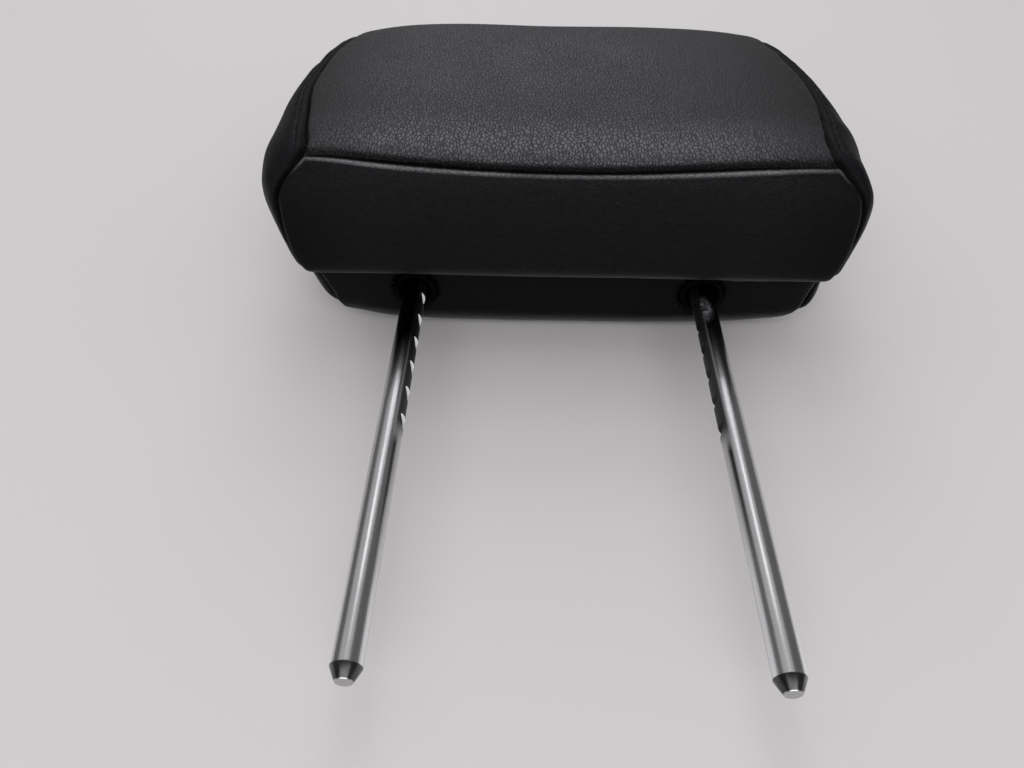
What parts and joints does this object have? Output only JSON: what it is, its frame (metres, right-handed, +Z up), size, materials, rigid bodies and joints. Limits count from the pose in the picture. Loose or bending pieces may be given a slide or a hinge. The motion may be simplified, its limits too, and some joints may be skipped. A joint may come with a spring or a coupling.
{
  "type": "car headrest",
  "caption": "Stitched leather head restraint cushion with an overhanging chin, carried by a bent chromed rod whose posts have locking notches.",
  "frame": {"origin": "midway between the two posts, on the plane where they leave the underside of the cushion", "axes": "+X to the right as seen from the front, +Y towards the back of the car, -Y the way the front of the cushion faces, +Z up along the posts"},
  "size_m": [0.298, 0.1125, 0.397],
  "materials": {
    "chrome_rod": "polished chrome plate, dusty",
    "foam": "moulded polyurethane foam",
    "leather": "charcoal pebbled leather, satin",
    "black_plastic": "black moulded plastic"
  },
  "bodies": {
    "root": {"support_frame": "chrome_rod", "foam_core": "foam", "front_panel": "leather", "chin_panel": "leather", "back_panel": "leather", "left_side_panel": "leather", "right_side_panel": "leather", "left_post_collar": "black_plastic", "right_post_collar": "black_plastic", "chin_closing_strip": "black_plastic", "back_closing_strip": "black_plastic"}
  },
  "joints": []
}
